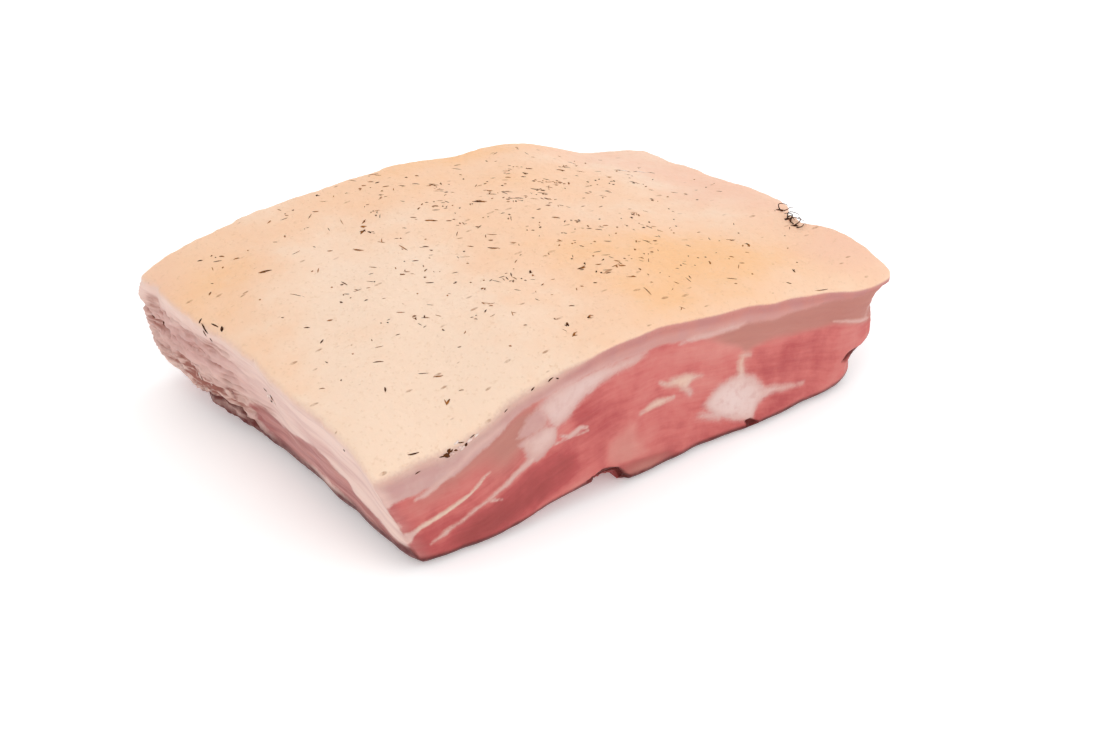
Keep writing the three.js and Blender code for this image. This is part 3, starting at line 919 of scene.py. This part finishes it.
fleshFinish, tree = newMaterial("raw_pork_knife_cut")
colour, fibres, fine = porkColour(tree, addNode(tree, "TexCoord", out="Object"))
rough = addNode(tree, "MapRange", (fibres, 0.2, 0.8, *pork["roughness"]), **smoothly)
finePart = addNode(tree, "Math", (fine, 0.3), **times)
bumpHeight = addNode(tree, "Math", (fibres, 0.7, finePart), **timesPlus)
finishMeat(tree, colour, rough, bumpHeight, pork["bumps"], 0.06)
flesh.data.materials.append(fleshFinish)

# Pork rind, scalded and scraped: leathery satin skin with fine creases, pores and hair roots.
skin = {
    "cream": "#efd2ba", "peach": "#efc6a6", "orange": "#efbc8c", "pink": "#ecbea4",
    "crease": "#d9b18e", "root": "#8f5522",
    "roughness": (0.46, 0.6), "bumps": 0.45,  # mm
    "mottling": [(20.0, 4.0, 0.55), (2.6, 5.0, 0.65)],  # blotches and creases
    "poreSize": 2.4, "rootCell": 4.6,  # mm
    "combed": -37,  # degrees: the way the hairs lie
    "rootDrawn": (0.45, 1.3, 1.0),
}
rindFinish, tree = newMaterial("pork_rind_scraped_skin")
place = addNode(tree, "TexCoord", out="Object")
here = readFields(tree, ("skin", "stain", "blush"))
cutColour, fibres, fine = porkColour(tree, place)
mottled, creases = makePatterns(tree, place, skin["mottling"])
stain = swing(tree, here["stain"], [(mottled, 0.8)])
blush = swing(tree, here["blush"], [(mottled, 0.8)])
pores = addNode(tree, "TexVoronoi", {"Vector": place, "Scale": perMetre(skin["poreSize"])}, "Distance")
pit = addNode(tree, "MapRange", (pores, 0.3, 0.1), **smoothly)
# Faint hair roots: short dashes, in about a third of the cells of a drawn-out cell pattern.
combed = addNode(tree, "Mapping", {
    "Vector": place, "Rotation": (0.0, 0.0, math.radians(-skin["combed"])), "Scale": skin["rootDrawn"],
})
cells = addNode(tree, "TexVoronoi", {"Vector": combed, "Scale": perMetre(skin["rootCell"])}, "Color")
chance = addNode(tree, "SeparateColor", (cells,))
likely = addNode(tree, "MapRange", (chance, 0.5, 1.0), **smoothly)
reach = addNode(tree, "Math", (likely, 0.2), **times)
within = addNode(tree, "Math", (cells.node.outputs["Distance"], reach), operation="SUBTRACT")
dash = addNode(tree, "MapRange", (within, 0.03, -0.06), **smoothly)
uneven = addNode(tree, "MapRange", (creases, 0.3, 0.7, 0.15, 0.7), **smoothly)
skinColour = layOver(tree, skin["cream"], [
    ((stain, 0.0, 0.55), skin["peach"]), ((stain, 0.45, 1.1), skin["orange"]),
    ((blush, 0.1, 1.0), skin["pink"]), ((creases, 0.56, 0.74, 0.0, 0.42), skin["crease"]),
    (addNode(tree, "Math", (pit, 0.18), **times), skin["crease"]),
    (addNode(tree, "Math", (dash, uneven), **times), skin["root"]),
])
border = swing(tree, here["skin"], ((fine, 0.9), (mottled, 1.6)))
colour = layOver(tree, cutColour, [((border, -1.0, 1.0), skinColour)])
pitPart = addNode(tree, "Math", (pit, -0.25), **times)
bumpHeight = addNode(tree, "Math", (creases, 0.8, pitPart), **timesPlus)
rough = addNode(tree, "MapRange", (creases, 0.3, 0.7, *skin["roughness"]), **smoothly)
finishMeat(tree, colour, rough, bumpHeight, skin["bumps"], 0.04)
rind.data.materials.append(rindFinish)

# Singed hair is dull and brown, and burnt dark in places. Torn fat is pale and wet, with pinker shreds.
bitLooks = {  # mottling, where it turns, its two colours, roughness, and the rest of the shader's values
    "singed_bristle_dull": (
        (6.0, 3.0, 0.7), (0.4, 0.6), ("#3e1b09", "#9c6230"), (0.7, 0.9), {"Specular IOR Level": 0.1}),
    "singed_knot_charred": (
        (6.0, 3.0, 0.7), (0.4, 0.6), ("#2a1208", "#5c3318"), (0.7, 0.9), {"Specular IOR Level": 0.1}),
    "torn_fat_moist": (
        (1.6, 2.0, 0.6), (0.4, 0.64), ("#ecd6cc", "#d2aca2"), (0.34, 0.5), {"IOR": 1.45, **softLight}),
}
bitFinishes = {}
for name, (mottling, turns, (under, over), roughness, sockets) in bitLooks.items():
    bitFinishes[name], tree = newMaterial(name)
    spots = makePatterns(tree, addNode(tree, "TexCoord", out="Object"), [mottling])[0]
    addShader(tree, {
        "Base Color": layOver(tree, under, [((spots, *turns), over)]),
        "Roughness": addNode(tree, "MapRange", (spots, 0.3, 0.7, *roughness), **smoothly), **sockets,
    })
print("finishes made")

# Stubble: short singed bristles that the scraping left, most of them lying flat along the rind.
stubble = {
    "placed": [  # x, y, length, width, turn in degrees; in mm
        (-98, 44, 5.6, 1.3, -30), (-52, 43, 3.4, 1.4, 20), (-49.5, 46, 2.6, 1.3, -50),
        (-47, 49.5, 2.8, 1, 40), (-50, 40.6, 2.2, 1, -80), (-25, 32, 5.4, 1.2, -34), (1, 34, 6.4, 1.5, -30),
        (-17, 41, 2.6, 1, -20), (-24, 43, 2.4, 0.9, 30), (-30, 38, 3, 0.8, -40), (-19, 28, 2.4, 0.9, -30),
        (18, 29, 3.6, 0.8, -35), (18, 15, 2.6, 0.9, 10), (26, -1, 2.8, 0.8, -60), (27, -7, 2.2, 0.8, 70),
        (34, -10, 2.6, 0.8, -20), (21, 1, 2.2, 0.7, 40), (-53, -8, 3.4, 0.8, -30), (-56, 4, 2.6, 0.7, -40),
        (-48, 10, 2.8, 0.8, -20), (-49, 1, 2.4, 0.8, 30), (-38, 17, 2.8, 0.9, -35),
        (-105, 1, 2.6, 0.8, -40), (-105, -10, 2.6, 0.9, 30), (3, -34, 3.6, 1.3, -10), (6, -32, 2, 0.9, 60),
        (10, -36, 2.6, 0.9, -30), (14, -34, 2, 0.8, 20), (18, -38, 2.6, 0.9, -50), (-18, -36, 2.4, 0.8, 30),
        (-16, -25, 2.6, 1.1, 60), (-27, -64, 2.8, 1.3, 70), (-17, -65, 2.2, 1.2, 20),
        (-29, -71, 3, 1.2, 40), (-18, -55, 2.4, 0.9, -30), (-82, -56, 3.8, 0.9, -28),
        (-86, -51, 4.8, 0.6, -32), (-102, -50, 2.8, 0.9, 60), (-86, -68, 3, 1.2, 30),
        (-96, -36, 4.2, 0.8, -30), (-120, -34, 2.4, 0.7, -30), (-48, -39, 2.6, 0.8, 40),
        (-68, -27, 3.2, 0.7, -35), (-74, -18, 4.2, 0.6, -40), (84, -44, 3.4, 1.2, 70),
        (54, -54, 2.8, 0.9, 65), (78, -76, 2.4, 0.9, -30), (88, -68, 3, 1, 70), (80, -38, 2, 0.7, -30),
        (36, -28, 2.2, 0.8, 50), (55, -16, 2.6, 0.6, -25), (-26, 77, 2.8, 0.9, -40), (-24, 68, 3, 0.8, -25),
        (-58, 70, 2.8, 0.9, -30), (-77, 76, 2.4, 0.8, 20), (-112, 73, 2.4, 0.9, -30),
        (-101, 62, 2.6, 0.9, -35), (-12, 63, 3.2, 0.8, -30), (91.5, -81.5, 8, 0.5, -3),
        (57, 51, 3.4, 1.2, -30), (43, 56, 3, 0.9, -30), (38, 52, 2.4, 1, -40), (88, 49, 4.6, 0.7, -20),
        (95, 46, 3.6, 0.6, 10), (103, 44, 3.8, 0.6, -35), (66, 49, 5, 0.5, -30),
        (121.5, -22, 3.2, 1.6, -30), (118, -31, 3, 1.9, -20), (116.5, -37, 3.4, 1.5, -40),
    ],
    "dense": [  # x, y, reach along, reach across, tilt, how likely
        (-12, 12, 58, 46, 0, 1), (20, -36, 50, 26, -20, 0.7), (60, -20, 60, 50, 0, 0.3),
        (56, 42, 42, 18, -6, 0.9), (-30, 66, 70, 14, 0, 0.4), (-60, 0, 90, 90, 0, 0.16),
    ],
    "random": 560, "clump": 0.4, "clumpReach": 2.2, "length": 1.5, "lengthSpread": 0.45, "dot": 0.45,
    "hair": 0.42, "turn": -34, "turnSpread": 24, "knotWidth": 0.95, "overX": (-124, 124),
    "overY": (-78, 82),
}
surfaces = [
    BVHTree.FromPolygons([v.co for v in piece.data.vertices], [p.vertices for p in piece.data.polygons])
    for piece in (rind, flesh)
]
outOfReach = 200  # mm, farther out than any side of the slab


def spotOn(start, way):
    # The first place on the slab from here, in millimetres, and a turn that lays a piece flat on it.
    hits = [surface.ray_cast(Vector(start) * mm, Vector(way)) for surface in surfaces]
    hits = [hit for hit in hits if hit[0] is not None]
    if not hits:
        return None
    place, normal = min(hits, key=lambda hit: hit[3])[:2]
    laid = Vector((0, 0, 1)).rotation_difference(normal)
    return Matrix.Translation(place) @ laid.to_matrix().to_4x4()


def onTopAt(x, y):
    return spotOn((x, y, outOfReach), (0, 0, -1))


def onCutAt(side, along, z):
    if side == "top":
        return onTopAt(along, z)
    if side == "front":
        return spotOn((along, -outOfReach, z), (0, 1, 0))
    return spotOn((-outOfReach, along, z), (1, 0, 0))


def bristleShape():
    # A five-sided spindle, 1 long and 1 wide, with blunt ends.
    bm = bmesh.new()
    bmesh.ops.create_cone(
        bm, segments=5, radius1=0.5, radius2=0.5, depth=1, cap_ends=True,
        matrix=Matrix.Rotation(math.radians(90), 4, "Y"),
    )
    cutEdges(bm, [e for e in bm.edges if abs((e.verts[0].co - e.verts[1].co).x) > 0.9], 2)
    for v in bm.verts:
        thick = 1 - 0.8 * abs(v.co.x * 2) ** 1.5
        v.co.y *= thick
        v.co.z *= 0.55 * thick
    return meshFrom(bm, "bristle")


bristle = bristleShape()


def addBristle(bm, spot, length, width, turn, bend):
    if spot is None:
        return
    bm.from_mesh(bristle)
    bm.verts.ensure_lookup_table()
    made = bm.verts[-len(bristle.vertices):]
    for v in made:
        v.co.y += bend * v.co.x ** 2
    size = Matrix.Diagonal((length * mm, width * mm, width * mm, 1))
    turned = Matrix.Rotation(math.radians(turn), 4, "Z")
    bmesh.ops.transform(bm, verts=made, matrix=spot @ turned @ size)


draw = random.Random(7)
vary = draw.uniform
bm = bmesh.new()
for x, y, length, width, turn in stubble["placed"]:
    addBristle(bm, onTopAt(x, y), length, width, turn, vary(-1.2, 1.2))
    if width > stubble["knotWidth"]:  # the bigger ones are knots of two or three bristles
        for _ in range(2):
            addBristle(bm, onTopAt(x + vary(-1.2, 1.2), y + vary(-1.0, 1.0)),
                       length * vary(0.4, 0.8), width * 0.5, turn + vary(-60, 60), vary(-1.5, 1.5))
stillToPlace = stubble["random"]
while stillToPlace:
    if draw.random() < stubble["clump"]:
        x, y = x + draw.gauss(0, stubble["clumpReach"]), y + draw.gauss(0, 0.6 * stubble["clumpReach"])
    else:
        x, y = vary(*stubble["overX"]), vary(*stubble["overY"])
    if draw.random() > shades(np.array([x]), np.array([y]), stubble["dense"])[0]:
        continue
    stillToPlace -= 1
    length = stubble["length"] * math.exp(draw.gauss(0, stubble["lengthSpread"]))
    isDot = draw.random() < stubble["dot"]  # a root cut short, as thick as it is long
    width = vary(0.7, 1.15) if isDot else stubble["hair"] * vary(0.8, 1.5)
    addBristle(bm, onTopAt(x, y), (0.8 if isDot else 1.5) * length, width,
               stubble["turn"] + draw.gauss(0, stubble["turnSpread"]) + draw.choice((0, 0, 0, 90)),
               vary(-1.5, 1.5))
bristles = meshFrom(bm, "stubble")
bristles.materials.append(bitFinishes["singed_bristle_dull"])
bristlePiece = addObject(bristles, "stubble")
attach(bristlePiece, "root")
print("stubble:", len(bristles.polygons), "faces")

# Bits on the cut edges: singed knots, and pale threads of torn fat beside them.
edgeBits = {  # by side: place along it, height, length, width, turn; in mm and degrees
    "singed_knots": {
        "front": [
            (-97.4, 44.8, 3, 2.2, -30), (-96.2, 46, 2.2, 1.6, 50), (-99.4, 45, 2.6, 0.7, -12),
            (-88.7, 46, 1.7, 1.5, 40), (-93.3, 45.5, 1.6, 1, -20), (-95.2, 45.8, 1.6, 0.9, 30),
            (-90.6, 47.4, 2.6, 0.6, -20), (-85.6, 48.4, 2.4, 0.5, 10), (-110, 42, 2.6, 0.6, 8),
            (-57, 57.6, 2.2, 0.7, 20), (-49, 59, 3, 0.7, 12), (-46, 58.4, 1.6, 0.7, -30),
            (-70, 53.4, 2, 0.5, 30),
        ],
        "left": [
            (39.6, 55, 2.4, 1.2, 20), (35.5, 53.4, 5.2, 1.3, 62), (32, 56, 5.6, 0.8, 98),
            (27, 56.4, 3.4, 1.6, 60), (33, 49, 2.6, 0.8, 10), (36, 51, 3, 1, 30), (-3.5, 39, 2.8, 1.3, 30),
            (-1, 35.6, 2.4, 1.3, -40), (0.8, 40.4, 2.6, 0.8, 80), (-60.9, 47.2, 1.6, 1, 0),
            (81, 37, 2.4, 0.9, 70), (78, 34.6, 2.8, 0.8, 40), (83.6, 41, 1.8, 0.7, 100),
        ],
    },
    "fat_threads": {
        "front": [
            (-91.6, 45.8, 3, 1.4, -10), (-87, 47.2, 3.2, 1.5, 20), (-90.2, 45.2, 2.4, 1.2, 40),
            (-94.8, 44.6, 2.2, 1.2, -30), (-92, 47.6, 2.6, 1, 15), (-84, 48.2, 2.4, 0.9, 24),
        ],
        "left": [
            (-1.8, 38, 3.8, 1.5, 30), (0.8, 37, 3.4, 1.3, -20), (-4.6, 36.6, 2.8, 1.2, 80),
            (80, 33.6, 3.6, 1, 60), (74, 36, 4.6, 0.8, 72), (70, 26, 6, 1, 98), (62, 24.4, 7, 1.1, 82),
            (54, 20, 6, 1, 70), (47, 19, 5, 0.8, 60), (58, 33, 7, 0.8, 78), (50, 36, 6, 0.8, 70),
        ],
        "top": [(90, 48, 5, 0.9, -24), (98, 45.4, 5, 0.9, -30)],
    },
}
for name, sides in edgeBits.items():
    bm = bmesh.new()
    for side, places in sides.items():
        for along, z, length, width, turn in places:
            addBristle(bm, onCutAt(side, along, z), length, width, turn, vary(-1.0, 1.0))
    bmesh.ops.recalc_face_normals(bm, faces=bm.faces)
    mesh = meshFrom(bm, name)
    mesh.shade_smooth()
    mesh.materials.append(bitFinishes["singed_knot_charred" if name == "singed_knots" else "torn_fat_moist"])
    piece = addObject(mesh, name)
    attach(piece, "root")

# A few long curled hairs are left at the notch in the rind's right edge.
hairs = {  # root x, y, length, heading in degrees, rise, curl; in mm
    "roots": [
        (121.5, -22, 5, 20, 1.6, 1.5), (121, -23, 6, -30, 1, -1.6), (118, -31, 6, 10, 1.8, 1.4),
        (118.4, -32, 5, 60, 1.4, -1.4), (117, -34, 6, -10, 1, 1.8), (116.5, -37, 6, 15, 2.4, -1.6),
        (117, -36, 5, 70, 1.6, 1.5), (116, -39, 5, -20, 1, -1.4), (118.6, -30, 4, -60, 0.6, 1.2),
    ],
    "thick": 0.55,
    "steps": 9,
}
strands = bpy.data.curves.new("hairs", "CURVE")
strands.dimensions = "3D"
strands.bevel_depth = hairs["thick"] / 2 * mm
strands.bevel_resolution = 1
strands.use_fill_caps = True
for x, y, length, heading, rise, curl in hairs["roots"]:
    root = onTopAt(x, y).translation / mm
    spline = strands.splines.new("POLY")
    spline.points.add(hairs["steps"] - 1)
    c, s = math.cos(math.radians(heading)), math.sin(math.radians(heading))
    for number, point in enumerate(spline.points):
        t = number / (hairs["steps"] - 1)
        forward, aside = length * t, curl * math.sin(5 * t)
        up = rise * math.sin(math.pi * t) + 0.3
        point.co = (*((root + Vector((c * forward - s * aside, s * forward + c * aside, up))) * mm), 1)
        point.radius = 1 - 0.7 * t
hairCurve = bpy.data.objects.new("hairCurve", strands)
hairMesh = bpy.data.meshes.new_from_object(hairCurve)
bpy.data.objects.remove(hairCurve)
hairMesh.shade_smooth()
hairMesh.materials.clear()
hairMesh.materials.append(bitFinishes["singed_knot_charred"])
hairPiece = addObject(hairMesh, "curled_hairs")
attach(hairPiece, "root")
print("edge bits and", len(hairMesh.polygons), "faces of hair")

# A plain white board, softly lit from above and from the front. The board also glows a little, which is
# painted light that lightens the shadows on it.
stage = {
    "floor": 3.0, "floorColour": "#fafafa", "under": 0.2 * mm, "glow": 0.22, "sky": 1.0,
    "lamps": {  # place, size and power
        "keyBox": ((0.7, 0.35, 0.9), 0.7, 1.2),
        "fillBox": ((0.35, -0.9, 0.55), 0.8, 1.5),
    },
    "lampAim": (0, 0, 0.03),
}
white = (1.0, 1.0, 1.0, 1.0)
bm = bmesh.new()
bmesh.ops.create_grid(bm, x_segments=1, y_segments=1, size=stage["floor"] / 2)
bmesh.ops.translate(bm, verts=bm.verts, vec=(0, 0, -stage["under"]))
floor = addObject(meshFrom(bm, "floor"), "floor")
floorFinish, tree = newMaterial("matt_white_board")
addShader(tree, {
    "Base Color": stage["floorColour"], "Roughness": 0.9,
    "Emission Color": white, "Emission Strength": stage["glow"],
})
floor.data.materials.append(floorFinish)

scene = bpy.context.scene
scene.view_settings.view_transform = "Standard"
scene.world = bpy.data.worlds.new("studio")
scene.world.use_nodes = True
sky = scene.world.node_tree.nodes["Background"]
sky.inputs["Color"].default_value = white
sky.inputs["Strength"].default_value = stage["sky"]
for name, (place, size, power) in stage["lamps"].items():
    lamp = bpy.data.lights.new(name, "AREA")
    lamp.shape = "SQUARE"
    lamp.size = size
    lamp.energy = power
    lampObject = addObject(lamp, name)
    lampObject.location = place
    lampObject.rotation_euler = (Vector(stage["lampAim"]) - Vector(place)).to_track_quat("-Z", "Y").to_euler()

cameraSet = {
    "azimuth": -36.8, "elevation": 32.8, "distance": 0.9146, "look": (-0.006, -0.0248, 0.0186), "fov": 28.0,
    "sensor": 36, "clip": (0.01, 20),
}
azimuth, elevation = math.radians(cameraSet["azimuth"]), math.radians(cameraSet["elevation"])
toCamera = Vector((
    math.sin(azimuth) * math.cos(elevation), -math.cos(azimuth) * math.cos(elevation), math.sin(elevation)
))
cameraData = bpy.data.cameras.new("camera")
cameraData.sensor_width = cameraSet["sensor"]
cameraData.lens = cameraSet["sensor"] / 2 / math.tan(math.radians(cameraSet["fov"]) / 2)
cameraData.clip_start, cameraData.clip_end = cameraSet["clip"]
camera = addObject(cameraData, "camera")
camera.location = Vector(cameraSet["look"]) + toCamera * cameraSet["distance"]
camera.rotation_mode = "QUATERNION"
camera.rotation_quaternion = (-toCamera).to_track_quat("-Z", "Y")
scene.camera = camera
